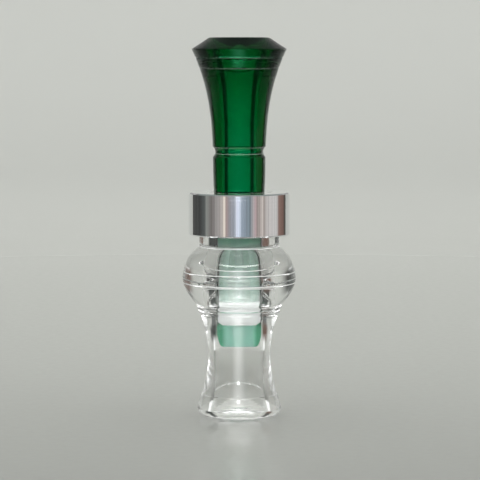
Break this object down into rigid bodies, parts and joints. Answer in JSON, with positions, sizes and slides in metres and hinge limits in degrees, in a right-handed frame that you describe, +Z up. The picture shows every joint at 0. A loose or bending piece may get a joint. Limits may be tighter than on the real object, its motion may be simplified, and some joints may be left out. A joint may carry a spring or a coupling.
{
  "type": "duck call",
  "caption": "Double-reed acrylic duck call: clear bulb-shaped barrel, polished aluminium band and green flared insert with tone board, reeds, wedge and O-rings.",
  "frame": {"origin": "centre of the mouthpiece's resting face", "axes": "+Z up the call's axis from the mouthpiece to the bell, -Y the side that the reeds face, +X to the right seen from the reed side"},
  "size_m": [0.038, 0.038, 0.127],
  "materials": {
    "clear_acrylic": "clear cast acrylic, polished",
    "green_acrylic": "deep green transparent acrylic, polished",
    "aluminium": "turned and polished, with fine lathe lines",
    "ring_rubber": "black nitrile, satin",
    "reed_film": "frosted polyester film",
    "wedge_rubber": "black rubber, matt"
  },
  "bodies": {
    "barrel": {"barrel": "clear_acrylic", "band": "aluminium"},
    "o_rings": {"upper_o_ring": "ring_rubber", "lower_o_ring": "ring_rubber"},
    "insert": {"insert": "green_acrylic", "wedge": "wedge_rubber"},
    "long_reed": {"long_reed": "reed_film"},
    "short_reed": {"short_reed": "reed_film"}
  },
  "joints": [
    {"name": "insert_pull", "type": "slide", "parent": "barrel", "child": "o_rings", "axis": [0, 0, 1], "range_m": [0, 0.055]},
    {"name": "insert_twist", "type": "hinge", "parent": "o_rings", "child": "insert", "pos_m": [0, 0, 0.0717], "axis": [0, 0, 1], "continuous": true},
    {"name": "long_reed_flex", "type": "hinge", "parent": "insert", "child": "long_reed", "pos_m": [0, -0.0002, 0.0614], "axis": [1, 0, 0], "range_deg": [-1, 1.5], "stiffness_Nm_per_rad": 0.005, "deforming": ["long_reed"]},
    {"name": "short_reed_flex", "type": "hinge", "parent": "insert", "child": "short_reed", "pos_m": [0, -0.0006, 0.0614], "axis": [1, 0, 0], "range_deg": [-1, 1.5], "stiffness_Nm_per_rad": 0.004, "deforming": ["short_reed"]}
  ],
  "couplings": [
    {"joint": "short_reed_flex", "follows": "long_reed_flex", "ratio": 1}
  ]
}
